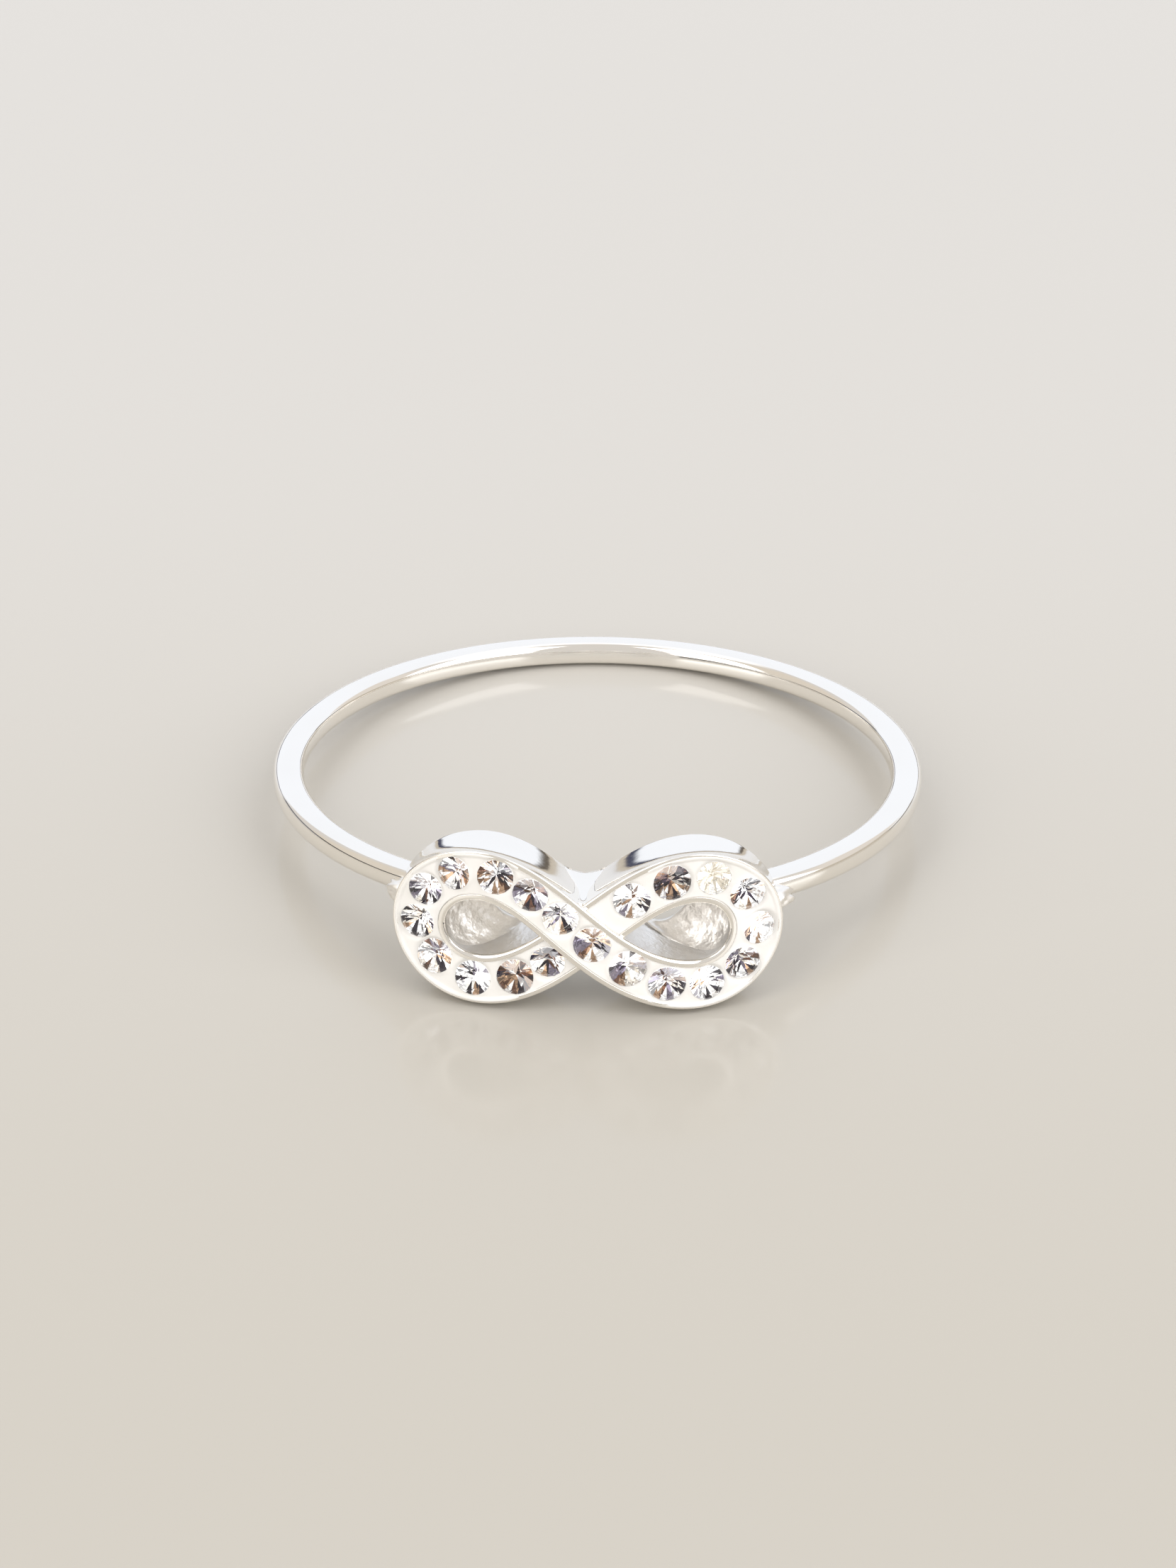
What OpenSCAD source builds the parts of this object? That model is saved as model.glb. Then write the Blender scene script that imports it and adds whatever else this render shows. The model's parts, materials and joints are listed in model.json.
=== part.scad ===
// Infinity ring: a slim round band with a channel-set infinity cup soldered across its front.
// The ring is drawn about its own axis and then laid down as it rests, in rest_pose().

/* [Band] */
// Inner diameter, the finger size
finger_d = 17.3; // [15.5:0.1:20]
// Thickness of the wire, from the finger outwards
wire_w = 0.9; // [0.8:0.05:1.2]
// Height of the wire along the finger
wire_h = 0.76; // [0.6:0.02:0.8]
// How much of the round wire is flattened away where it meets the finger
wire_flat = 0.02; // [0.01:0.01:0.04]
// How far from the middle the wire's two ends stop behind the cup
wire_end_x = 4; // [3.95:0.05:4.3]

/* [Infinity cup] */
// Half the length of the strand's centre line
loop_reach = 4.6; // [4.4:0.05:4.8]
// Half the height of the strand's centre line
loop_rise = 1.58; // [1.5:0.02:1.7]
// How much the loops are rounded towards their outer ends
loop_round = 0.19; // [0:0.01:0.25]
// Width of the strand over its two rims
strand_w = 1.47; // [1.4:0.01:1.5]
// Width of the rim along the cup's outside
rim_w = 0.12; // [0.1:0.01:0.14]
// Width of the rim round each eye
eye_rim_w = 0.2; // [0.14:0.01:0.22]
// Depth of the cup at its middle, from the flat back to the face
cup_depth = 2.15; // [1.9:0.05:2.4]
// Radius of the gentle bow of the face, round an axis along the finger
face_r = 12; // [11.5:0.5:16]
// How far the lower strand lies under the upper one where they cross
cross_step = 0.15; // [0.05:0.05:0.2]
// How far the upper strand swerves to its right, towards the lower left, where they cross
cross_swerve = 0.15; // [0:0.01:0.18]
// Depth of the channel that holds the paste and the crystals
channel_d = 0.7; // [0.65:0.05:0.75]
// How far the cup's back edge is set in, and how far from the back that starts
back_bevel = 0.2; // [0.1:0.05:0.3]
// How far the cup's middle lies below the middle of the band
cup_drop = 0.12; // [0:0.02:0.2]
// Clearance between the finger and the cup's flat back
back_gap = 0.1; // [0.05:0.05:0.2]
// How far from the middle the rough casting in the outer end of each eye runs out
web_x = 2.95; // [2.8:0.05:3.4]
// How far below the face that casting starts at the eye's outer end
web_drop = 0.45; // [0.3:0.05:0.7]

/* [Solder joints] */
// Height of the solder between the wire and the cup's back
joint_h = 0.7; // [0.5:0.05:0.75]
// Angle round the band, from the front, where the solder runs out
joint_angle = 40; // [38:1:44]

/* [Setting] */
// How far the paste lies below the rims
paste_sink = 0.05; // [0.02:0.01:0.08]
// Clearance round the paste and round each crystal
fit_gap = 0.02; // [0.01:0.01:0.03]
// Crown height of a crystal, as a share of its diameter
crown_share = 0.16; // [0.12:0.01:0.18]
// Table width across its corners, as a share of the crystal's diameter
table_share = 0.56; // [0.5:0.02:0.62]
// Pavilion depth, as a share of the crystal's diameter
pavilion_share = 0.43; // [0.38:0.01:0.45]

/* [Hidden] */

$fn = 96;

// Band
finger_r = finger_d / 2;
band_r = finger_r + wire_w;
// The wire is round, flattened above, below and where it meets the finger
wire_r = (wire_w + wire_flat) / 2;
wire_mid_r = band_r - wire_r;
wire_edge_x = sqrt(pow(wire_r, 2) - pow(wire_h / 2, 2));

// Cup
back_y = finger_r + back_gap;
face_y = back_y + cup_depth;
bevel_y = back_y + back_bevel;
half_w = strand_w / 2;
face_axis_y = face_r - face_y;
// The lower strand's face is flatter and meets the upper one's at the loops' ends
sag = face_r - sqrt(pow(face_r, 2) - pow(loop_reach, 2)) - cross_step;
low_face_r = (pow(loop_reach, 2) + pow(sag, 2)) / (2 * sag);
low_face_axis_y = low_face_r - face_y + cross_step;
floor_r = face_r - channel_d;
// A cut or a blank reaches this far past the cup
reach_past = 1;
cup_end_x = loop_reach + half_w;

// The upper strand crosses at 270 degrees of the centre line and the lower strand at 90
upper_run = [180, 360];
lower_run = [0, 180];
crossing_run = [225, 315];
run_overlap = 3;
// The outer end of an eye's outline, to both sides of the loop's end
web_run = 57;
run_step = 3;

function centre(t) = [
    loop_reach * cos(t) * (1 - loop_round * pow(sin(t), 2)),
    loop_rise * sin(2 * t)
];
function heading(t) = [
    -loop_reach * sin(t) * (1 - loop_round * pow(sin(t), 2) + 2 * loop_round * pow(cos(t), 2)),
    2 * loop_rise * cos(2 * t)
];
function left_of(t) = [-heading(t).y, heading(t).x] / norm(heading(t));
// The upper strand swerves over its crossing and is back on the curve at both ends of crossing_run
function swerve(t) = t < crossing_run[0] || t > crossing_run[1]
    ? 0
    : cross_swerve * pow(sin((t - crossing_run[0]) * 180 / (crossing_run[1] - crossing_run[0])), 2);
function beside(t, off) = centre(t) + (off - swerve(t)) * left_of(t);

// The side to the left of the run is the cup's outside on the left loop and the eye's on the right loop
function eye_share(t) = (1 + cos(t)) / 2;
function rim_beside(share) = rim_w + (eye_rim_w - rim_w) * share;
function channel_left(t) = half_w - rim_beside(eye_share(t));
function channel_right(t) = half_w - rim_beside(1 - eye_share(t));

// Rest: the band's rear and the cup's lower back corner carry the ring
cup_low = cup_drop - min([for (t = [0 : run_step : 360]) min(beside(t, half_w).y, beside(t, -half_w).y)]);
wire_low = wire_h / 2;
wire_low_y = wire_mid_r + wire_edge_x;
tilt = atan((cup_low - wire_low) / (bevel_y + wire_low_y));
lift = wire_low_y * sin(tilt) + wire_low * cos(tilt);
rest_y = (face_y - band_r) / 2 * cos(tilt);

// Centre line of the strip of crystals, from the lower left tip to the upper tip
strip_start = 90;
strip_end = 450;
// Rows of [length along the strip, angle] to look an angle up by its length
strip = [
    for (t = strip_start, s = 0; t <= strip_end; t = t + 1, s = s + norm(centre(t) - centre(t - 1))) [s, t]
];

// One row for each crystal, from the lower left tip to the upper tip:
// along the strip, to its left, diameter, lean forwards along it, lean to its left, turn on its own axis
STONES = [
    [1.39, 0.03, 0.96, 4, -5, 10],
    [2.42, 0.05, 1.00, -3, 4, 31],
    [3.60, 0.01, 0.98, 2, 6, 4],
    [4.80, 0.01, 0.98, 6, 3, 25],
    [5.88, 0.08, 0.98, -4, -4, 16],
    [6.88, 0.12, 0.92, 3, 5, 38],
    [7.84, 0.11, 0.92, -5, -6, 7],
    [8.95, 0.08, 1.00, 4, -3, 21],
    [9.99, 0.08, 1.00, -2, 5, 2],
    [11.04, 0.07, 1.00, 5, 2, 35],
    [12.20, 0.05, 1.02, -4, 3, 13],
    [13.42, 0.03, 1.02, 3, -5, 28],
    [14.60, -0.02, 1.02, -3, 4, 40],
    [15.70, -0.02, 0.98, 5, -3, 9],
    [16.76, -0.08, 0.98, -6, 4, 19],
    [17.80, -0.11, 0.92, 4, 6, 33],
    [18.88, -0.09, 0.98, -5, -4, 5],
    [19.95, -0.04, 0.92, 2, 3, 24],
    [21.08, -0.02, 1.02, -3, -2, 12],
    [22.28, -0.04, 1.00, 4, 5, 37]
];
// A crystal has this many kites above and below, and twice as many girdle facets
kites = 8;
half_kite = 180 / kites;
girdle_share = 0.03;
// Where the eight kites' side corners lie, as shares of the crystal's radius
crown_corner_share = 0.8;
pavilion_corner_share = 0.24;

// Pieces drawn about the finger's axis are laid down on their side
module rest_pose() {
    translate([0, rest_y, lift]) rotate([-tilt, 0, 0]) children();
}

// A stretch of the strand, drawn flat, from run[0] to run[1] degrees of its centre line
module strand(run, half) {
    left = [for (t = [run[0] : run_step : run[1]]) beside(t, half)];
    right = [for (t = [run[1] : -run_step : run[0]]) beside(t, -half)];
    polygon(concat(left, right));
}

// The channel inside the same stretch
module channel(run, gap) {
    left = [for (t = [run[0] : run_step : run[1]]) beside(t, channel_left(t) - gap)];
    right = [for (t = [run[1] : -run_step : run[0]]) beside(t, gap - channel_right(t))];
    polygon(concat(left, right));
}

function longer(run) = [run[0] - run_overlap, run[1] + run_overlap];

// Stands a flat drawing up, with its depth from near_y to far_y in front of the axis
module stood_up(near_y, far_y) {
    translate([0, 0, -cup_drop])
        rotate([90, 0, 0])
            translate([0, 0, near_y]) linear_extrude(far_y - near_y) children();
}

module bow(radius, axis_y) {
    translate([0, axis_y, -loop_reach]) cylinder(r = radius, h = 2 * loop_reach, $fn = 180);
}

module band() {
    difference() {
        rotate_extrude($fn = 180)
            intersection() {
                translate([wire_mid_r, 0]) circle(r = wire_r);
                translate([finger_r, -wire_h / 2]) square([wire_w, wire_h]);
            }
        translate([-wire_end_x, -band_r - reach_past, -wire_h])
            cube([2 * wire_end_x, band_r, 2 * wire_h]);
    }
}

// The bowed blank of one strand, with its back edge set in
module strand_blank(run, radius, axis_y) {
    intersection() {
        union() {
            stood_up(bevel_y, face_y + reach_past) strand(longer(run), half_w);
            stood_up(back_y, bevel_y + reach_past) strand(longer(run), half_w - back_bevel);
        }
        bow(radius, axis_y);
    }
}

module upper_channel(gap) {
    channel(longer(upper_run), gap);
}

module lower_channel(gap) {
    difference() {
        channel(longer(lower_run), gap);
        strand(crossing_run, half_w + gap);
    }
}

module cup() {
    difference() {
        union() {
            strand_blank(upper_run, face_r, face_axis_y);
            strand_blank(lower_run, low_face_r, low_face_axis_y);
        }
        difference() {
            stood_up(bevel_y, face_y + reach_past) {
                upper_channel(0);
                lower_channel(0);
            }
            bow(floor_r, face_axis_y);
        }
    }
}

// Casting left in the outer end of an eye: a ramp from under the rim down to the cup's back edge
module eye_web(side) {
    inset = eye_rim_w / 2;
    eye_end_x = loop_reach - half_w;
    top_y = sqrt(pow(face_r, 2) - pow(eye_end_x, 2)) - face_axis_y - web_drop;
    mirror([side < 0 ? 1 : 0, 0, 0])
        intersection() {
            stood_up(bevel_y, face_y)
                polygon([for (t = [-web_run : run_step : web_run]) beside(t, half_w - inset)]);
            linear_extrude(2 * strand_w, center = true)
                polygon([[web_x, -bevel_y], [eye_end_x + inset, -bevel_y], [eye_end_x + inset, -top_y]]);
        }
}

// The solder fills the wedge between the wire's outside and the cup's back
module joint(side) {
    outer = band_r - fit_gap;
    translate([0, 0, -joint_h / 2])
        linear_extrude(joint_h)
            difference() {
                polygon([
                    [side * wire_end_x, -bevel_y],
                    [side * (cup_end_x - rim_w), -bevel_y],
                    [side * cup_end_x, -bevel_y - back_bevel],
                    [side * (cup_end_x + back_bevel), -back_y],
                    [side * outer * sin(joint_angle), -outer * cos(joint_angle)],
                    [side * wire_end_x, -finger_r * cos(joint_angle)]
                ]);
                circle(r = wire_mid_r - wire_edge_x, $fn = 180);
            }
}

module silver_ring() {
    color("gainsboro") rest_pose() {
        band();
        cup();
        eye_web(-1);
        eye_web(1);
        joint(-1);
        joint(1);
    }
}

module seats() {
    for (row = STONES) on_strip(row) seat(row[2]);
}

module white_bed() {
    color("ivory") rest_pose()
        difference() {
            union() {
                intersection() {
                    stood_up(bevel_y, face_y + reach_past) upper_channel(fit_gap);
                    bow(face_r - paste_sink, face_axis_y);
                }
                intersection() {
                    stood_up(bevel_y, face_y + reach_past) lower_channel(fit_gap);
                    bow(low_face_r - paste_sink, low_face_axis_y);
                }
            }
            bow(floor_r + fit_gap, face_axis_y);
            seats();
        }
}

function is_upper(t) = t >= upper_run[0] && t <= upper_run[1];

// Places a crystal, drawn with its table up and its girdle at zero, on the paste
module on_strip(row) {
    t = lookup(row[0], strip);
    radius = is_upper(t) ? face_r : low_face_r;
    axis_y = is_upper(t) ? face_axis_y : low_face_axis_y;
    place = beside(t, row[1]);
    way = atan2(heading(t).y, heading(t).x);
    translate([0, axis_y, place.y - cup_drop])
        rotate([0, 0, asin(place.x / radius)])
            translate([0, paste_sink - radius, 0])
                rotate([90, 0, 0]) rotate(way) rotate([row[4], row[3], 0]) rotate(row[5]) children();
}

// The hole in the paste for one crystal: a cone below its girdle and a round well from there upwards
module seat(size) {
    wide = size / 2 + fit_gap;
    well = size * girdle_share + fit_gap;
    deep = size * pavilion_share + fit_gap;
    translate([0, 0, -deep]) cylinder(r1 = fit_gap, r2 = wide, h = deep - well, $fn = 48);
    translate([0, 0, -well]) cylinder(r = wide, h = well + size / 2, $fn = 48);
}

function circle_of(count, radius, height, turn) = [
    for (i = [0 : count - 1]) let (a = i * 360 / count + turn) [radius * cos(a), radius * sin(a), height]
];

// A round brilliant: table, eight stars, eight kites, sixteen halves, and the same below the girdle
module crystal(size) {
    r = size / 2;
    table_r = r * table_share;
    crown_h = size * crown_share;
    girdle_h = size * girdle_share;
    pavilion_h = size * pavilion_share;
    corner_r = r * crown_corner_share;
    // The corners lie in the planes of the two kites that they share
    corner_h = crown_h * (r - corner_r * cos(half_kite)) / (r - table_r);
    low_corner_r = r * pavilion_corner_share;
    low_corner_h = -pavilion_h + (pavilion_h - girdle_h) * low_corner_r * cos(half_kite) / r;
    girdle = 2 * kites;
    points = concat(
        circle_of(kites, table_r, crown_h, 0),
        circle_of(kites, corner_r, corner_h, half_kite),
        circle_of(girdle, r, 0, 0),
        circle_of(girdle, r, -girdle_h, 0),
        circle_of(kites, low_corner_r, low_corner_h, half_kite),
        [[0, 0, -pavilion_h]]
    );
    // Where each ring of points starts
    mid = kites;
    top = mid + kites;
    bottom = top + girdle;
    low = bottom + girdle;
    culet = low + kites;
    around = [0 : kites - 1];
    faces = concat(
        [[for (i = [kites - 1 : -1 : 0]) i]],
        [for (i = around) let (n = (i + 1) % kites) [i, n, mid + i]],
        [for (i = around) let (n = (i + kites - 1) % kites) [i, mid + i, top + 2 * i, mid + n]],
        [for (i = around) [mid + i, top + 2 * i + 1, top + 2 * i]],
        [for (i = around) [mid + i, top + (2 * i + 2) % girdle, top + 2 * i + 1]],
        [for (i = [0 : girdle - 1]) let (n = (i + 1) % girdle) [top + i, top + n, bottom + n, bottom + i]],
        [for (i = around) [low + i, bottom + 2 * i, bottom + 2 * i + 1]],
        [for (i = around) [low + i, bottom + 2 * i + 1, bottom + (2 * i + 2) % girdle]],
        [for (i = around) let (n = (i + kites - 1) % kites) [low + i, culet, low + n, bottom + 2 * i]]
    );
    polyhedron(points, faces, convexity = 2);
}

module stone(number) {
    row = STONES[number - 1];
    color("lavender") rest_pose() on_strip(row) crystal(row[2]);
}

silver_ring();
white_bed();
stone(1);  // stone_01
stone(2);  // stone_02
stone(3);  // stone_03
stone(4);  // stone_04
stone(5);  // stone_05
stone(6);  // stone_06
stone(7);  // stone_07
stone(8);  // stone_08
stone(9);  // stone_09
stone(10);  // stone_10
stone(11);  // stone_11
stone(12);  // stone_12
stone(13);  // stone_13
stone(14);  // stone_14
stone(15);  // stone_15
stone(16);  // stone_16
stone(17);  // stone_17
stone(18);  // stone_18
stone(19);  // stone_19
stone(20);  // stone_20
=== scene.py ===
# %% [markdown]
# # An infinity ring of polished silver
#
# This lesson dresses a finger ring that lies on a pale satin table. On the real ring a slim round wire is
# soldered behind a cast cup in the shape of an infinity sign. A channel runs round the cup, filled with a
# pale paste, and twenty small cut crystals are pressed into the paste while it is soft.
#
# The frame holds the ring at its real size and place. Everything made here is put round that frame, in
# the same coordinates.

import json
import math
import random

import bmesh
import bpy
from mathutils import Matrix, Vector, noise


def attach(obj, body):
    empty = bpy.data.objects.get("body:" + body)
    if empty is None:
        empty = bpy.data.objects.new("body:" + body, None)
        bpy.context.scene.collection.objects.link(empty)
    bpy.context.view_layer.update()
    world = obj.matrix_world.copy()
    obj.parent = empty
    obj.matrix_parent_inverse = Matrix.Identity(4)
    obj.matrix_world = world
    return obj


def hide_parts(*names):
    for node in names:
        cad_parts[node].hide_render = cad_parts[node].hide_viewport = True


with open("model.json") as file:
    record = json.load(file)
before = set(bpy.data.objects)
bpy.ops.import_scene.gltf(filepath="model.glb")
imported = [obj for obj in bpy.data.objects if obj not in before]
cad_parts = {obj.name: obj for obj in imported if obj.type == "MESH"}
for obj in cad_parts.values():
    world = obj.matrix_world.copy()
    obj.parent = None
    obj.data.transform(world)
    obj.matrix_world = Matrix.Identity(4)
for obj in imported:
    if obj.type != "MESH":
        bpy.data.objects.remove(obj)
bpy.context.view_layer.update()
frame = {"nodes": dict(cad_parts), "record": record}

# %% [markdown]
# ## The ring's own axes
#
# The ring lies a little tilted, on the rear of its wire and on the lower edge of its cup, which is taller
# than the wire. It is easier to model it about its own axis, in millimetres, with the finger along Z and
# the cup towards -Y. The finger hole in the record says where that axis is once the ring lies down, so
# one matrix carries every finished piece to its place.

# %% From the ring's own axes to the table
MM = 0.001
hole = next(mount for mount in frame["record"]["mounts"] if mount["name"] == "finger_hole")
finger_r = hole["dims"]["r_mm"]
tilt = math.atan2(hole["axis"][1], hole["axis"][2])
laid_down = Matrix.Translation(hole["pos_m"]) @ Matrix.Rotation(-tilt, 4, "X")
lay_down = laid_down @ Matrix.Scale(MM, 4)
print(f"finger hole {2 * finger_r:.1f} mm, ring tilted by {math.degrees(tilt):.1f} degrees")

# %% [markdown]
# ## The camera
#
# The photograph is taken from in front and above, through a long lens that keeps the ring's far side
# almost as large as its near side. The camera is placed in the ring's own axes: it looks at the finger's
# axis from a given height and distance, slides a little so that the ring sits where the photograph has
# it, and is then laid down together with the ring.

# %% Place the camera
CAMERA_HEIGHT = math.radians(24.5)
CAMERA_SIDE = math.radians(1.5)
CAMERA_ROLL = math.radians(0.45)
CAMERA_DISTANCE = 117.3
CAMERA_SLIDE = Vector((0.28, 0.47))
IMAGE_HEIGHT = 2212
FOCAL_PIXELS = 5600
SENSOR = 36

away = Vector((
    math.sin(CAMERA_SIDE) * math.cos(CAMERA_HEIGHT),
    -math.cos(CAMERA_SIDE) * math.cos(CAMERA_HEIGHT),
    math.sin(CAMERA_HEIGHT),
))
level = Vector((math.cos(CAMERA_SIDE), math.sin(CAMERA_SIDE), 0))
rolled = Matrix.Rotation(CAMERA_ROLL, 3, away)
right = rolled @ level
up = rolled @ away.cross(level)
stand = away * CAMERA_DISTANCE - right * CAMERA_SLIDE.x - up * CAMERA_SLIDE.y

camera_data = bpy.data.cameras.new("camera")
camera_data.lens = FOCAL_PIXELS / IMAGE_HEIGHT * SENSOR
camera_data.sensor_width = SENSOR
camera_data.clip_start = 0.001
camera_data.clip_end = 10
camera = bpy.data.objects.new("camera", camera_data)
bpy.context.collection.objects.link(camera)
turned = Matrix((right, up, away)).transposed().to_4x4()
camera.matrix_world = laid_down @ Matrix.Translation(stand * MM) @ turned
bpy.context.scene.camera = camera
to_camera = (camera.matrix_world.translation - laid_down.translation).normalized()
print(f"camera {math.degrees(math.asin(to_camera.z)):.1f} degrees above the table")

# %% [markdown]
# ## Shader arithmetic
#
# A finish is a sum of simple patterns. Wiring each Math node by hand hides the formula, so a small class
# wraps one output of a node and lets Python's own signs make the Math nodes. Its `node` method makes any
# other kind of node from a type, its settings and the values or links of its inputs.

# %% A signal in a node tree


class Signal:
    """One output in a node tree, for use in expressions."""

    def __init__(self, tree, socket=None):
        self.tree = tree
        self.socket = socket

    def put(self, socket, value):
        """Links a signal to an input, or sets a plain value there."""
        if isinstance(value, Signal):
            self.tree.links.new(value.socket, socket)
        else:
            socket.default_value = value

    def node(self, kind, settings=None, inputs=None, out=0):
        """Makes a node, with its settings first, and gives one of its outputs."""
        made = self.tree.nodes.new(kind)
        for name, value in (settings or {}).items():
            setattr(made, name, value)
        for name, value in (inputs or {}).items():
            self.put(made.inputs[name], value)
        return Signal(self.tree, made.outputs[out])

    def math(self, operation, *values):
        """A Math node of any kind, on this signal and further values."""
        inputs = dict(enumerate((self, *values)))
        return self.node("ShaderNodeMath", {"operation": operation}, inputs)

    def reflected(self, operation, value):
        """The same with a plain number first."""
        return self.node("ShaderNodeMath", {"operation": operation}, {0: value, 1: self})

    def __add__(self, other):
        return self.math("ADD", other)

    def __radd__(self, other):
        return self.reflected("ADD", other)

    def __sub__(self, other):
        return self.math("SUBTRACT", other)

    def __rsub__(self, other):
        return self.reflected("SUBTRACT", other)

    def __mul__(self, other):
        return self.math("MULTIPLY", other)

    def __rmul__(self, other):
        return self.reflected("MULTIPLY", other)

    def step(self, low, high):
        """Rises smoothly from 0 to 1 between two values of this signal."""
        settings = {"interpolation_type": "SMOOTHSTEP"}
        return self.node("ShaderNodeMapRange", settings, {"Value": self, "From Min": low, "From Max": high})

    def blend(self, first, second):
        """A colour that goes from the first to the second as this signal goes from 0 to 1."""
        colours = [c if isinstance(c, Signal) else (*c, 1) for c in (first, second)]
        settings = {"data_type": "RGBA"}
        return self.node("ShaderNodeMix", settings, {0: self, 6: colours[0], 7: colours[1]}, out=2)

    def dot(self, direction):
        """How far this direction leans towards another one."""
        settings = {"operation": "DOT_PRODUCT"}
        return self.node("ShaderNodeVectorMath", settings, {0: self, 1: direction}, out="Value")


def new_finish(name, **constants):
    """A material with a Principled shader, its constant values set, and a signal to build on."""
    finish = bpy.data.materials.new(name)
    finish.use_nodes = True
    shader = finish.node_tree.nodes["Principled BSDF"]
    for socket, value in constants.items():
        shader.inputs[socket.replace("_", " ")].default_value = value
    return finish, shader, Signal(finish.node_tree)


print("signals ready")

# %% [markdown]
# ## Silver
#
# Polished silver is a mirror with a faint warm tint. What makes it look real is what it mirrors, and
# that the polish is never quite even: a soft wave left by the polishing wheel bends the reflections, and
# fine haze changes the roughness a little from place to place. Both come from noise on Object
# coordinates, which are metres here, so a scale of 600 gives waves of about 1.7 mm.

# %% Polished, cast and soldered silver


def place_in(start):
    """The place on the piece, in metres."""
    return start.node("ShaderNodeTexCoord", out="Object")


def grain(start, place, scale, detail=2.0):
    """Noise between 0 and 1, so many times to the metre."""
    inputs = {"Vector": place, "Scale": scale, "Detail": detail}
    return start.node("ShaderNodeTexNoise", {}, inputs, out="Fac")


def bumped(start, height, depth):
    """A normal from a height signal, whose full range is so many metres deep."""
    return start.node("ShaderNodeBump", {}, {"Height": height, "Distance": depth}, out="Normal")


def silver_finish(name, bright, dull, haze, haze_range, wave_scale, wave_depth, grain_scale, grain_depth):
    """Silver with a wave, a grain and an uneven haze."""
    finish, shader, start = new_finish(name, Metallic=1.0)
    place = place_in(start)
    wave = grain(start, place, wave_scale)
    fine = grain(start, place, grain_scale, detail=4.0)
    start.put(shader.inputs["Base Color"], wave.blend(bright, dull))
    start.put(shader.inputs["Roughness"], haze + haze_range * fine)
    depth = wave_depth + grain_depth
    height = wave * (wave_depth / depth) + fine * (grain_depth / depth)
    start.put(shader.inputs["Normal"], bumped(start, height, depth))
    return finish


polished = silver_finish(
    "polished_silver", bright=(0.96, 0.935, 0.89), dull=(0.93, 0.9, 0.85), haze=0.03, haze_range=0.05,
    wave_scale=600, wave_depth=0.000007, grain_scale=9000, grain_depth=0.0000004,
)
cast = silver_finish(
    "cast_silver", bright=(0.95, 0.94, 0.92), dull=(0.86, 0.83, 0.79), haze=0.26, haze_range=0.2,
    wave_scale=3600, wave_depth=0.000034, grain_scale=12000, grain_depth=0.000014,
)
solder = silver_finish(
    "solder_silver", bright=(0.97, 0.95, 0.92), dull=(0.9, 0.87, 0.82), haze=0.26, haze_range=0.2,
    wave_scale=2500, wave_depth=0.00003, grain_scale=9000, grain_depth=0.000006,
)
print("silver:", polished.name, cast.name, solder.name)

# %% [markdown]
# ## Handing a piece over
#
# Each piece is shaped in a bmesh in millimetres. One function lays it down with the ring, turns its normals
# outwards, gives it its finishes, hangs it on the ring's body and hides the frame's solid that it stands
# for.

# %% Turn a bmesh into a piece


def hand_over(bm, name, finishes, node, smooth=True, matrix=lay_down):
    """Makes the piece of a bmesh and puts it in the place of a node of the frame."""
    bmesh.ops.transform(bm, matrix=matrix, verts=bm.verts)
    bmesh.ops.recalc_face_normals(bm, faces=bm.faces)
    if bm.calc_volume(signed=True) < 0:
        bmesh.ops.reverse_faces(bm, faces=bm.faces)
    for face in bm.faces:
        face.smooth = smooth
    mesh = bpy.data.meshes.new(name)
    bm.to_mesh(mesh)
    bm.free()
    for finish in finishes:
        mesh.materials.append(finish)
    piece = bpy.data.objects.new(name, mesh)
    bpy.context.collection.objects.link(piece)
    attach(piece, "root")
    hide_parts(node)
    return piece


# %% [markdown]
# ## The wire band
#
# The band is round wire bent into a hoop, a little flattened above and below where it was filed. A
# circle that is squeezed towards a box is its section, and `spin` sweeps that section round the finger's
# axis. The hoop is open at the front: its two ends are soldered behind the cup.

# %% Spin the band
WIRE_W = 0.9
WIRE_H = 0.76
WIRE_CORNERS = 28
WIRE_SQUARENESS = 0.68
WIRE_END_X = 4.0
BAND_STEPS = 260

wire_mid_r = finger_r + WIRE_W / 2
end_angle = math.asin(WIRE_END_X / wire_mid_r)

bm = bmesh.new()
bmesh.ops.create_circle(bm, segments=WIRE_CORNERS, radius=1, cap_ends=True)
for vert in bm.verts:
    across, along = (math.copysign(abs(value) ** WIRE_SQUARENESS, value) for value in vert.co.xy)
    vert.co = Vector((wire_mid_r + across * WIRE_W / 2, 0, along * WIRE_H / 2))
to_end = Matrix.Rotation(end_angle - math.pi / 2, 3, "Z")
bmesh.ops.rotate(bm, verts=bm.verts, cent=(0, 0, 0), matrix=to_end)
section = bm.verts[:] + bm.edges[:] + bm.faces[:]
bmesh.ops.spin(
    bm, geom=section, cent=(0, 0, 0), axis=(0, 0, 1), angle=2 * (math.pi - end_angle), steps=BAND_STEPS,
    use_duplicate=False,
)
band = hand_over(bm, "wire_band", [polished], "silver_ring")
print("band:", len(band.data.polygons), "faces")

# %% [markdown]
# ## The cup's path
#
# The strand of the infinity sign follows one closed curve: a Lissajous figure, a little rounder at its
# ends. The angle t runs once round it. From 180 to 360 degrees the strand is the upper one, which crosses
# over at 270 with a small swerve, and from 0 to 180 it is the lower one, which passes under at 90.

# %% Where the strand goes
LOOP_REACH = 4.6
LOOP_RISE = 1.58
LOOP_ROUND = 0.19
STRAND_W = 1.47
CUP_DROP = 0.12
CUP_DEPTH = 2.15
FACE_R = 12
CROSS_STEP = 0.15
CROSS_SWERVE = 0.15
BACK_GAP = 0.1
SWERVE_SPAN = (math.radians(225), math.radians(315))
CHANGE_OVER = math.radians(20)

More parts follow.
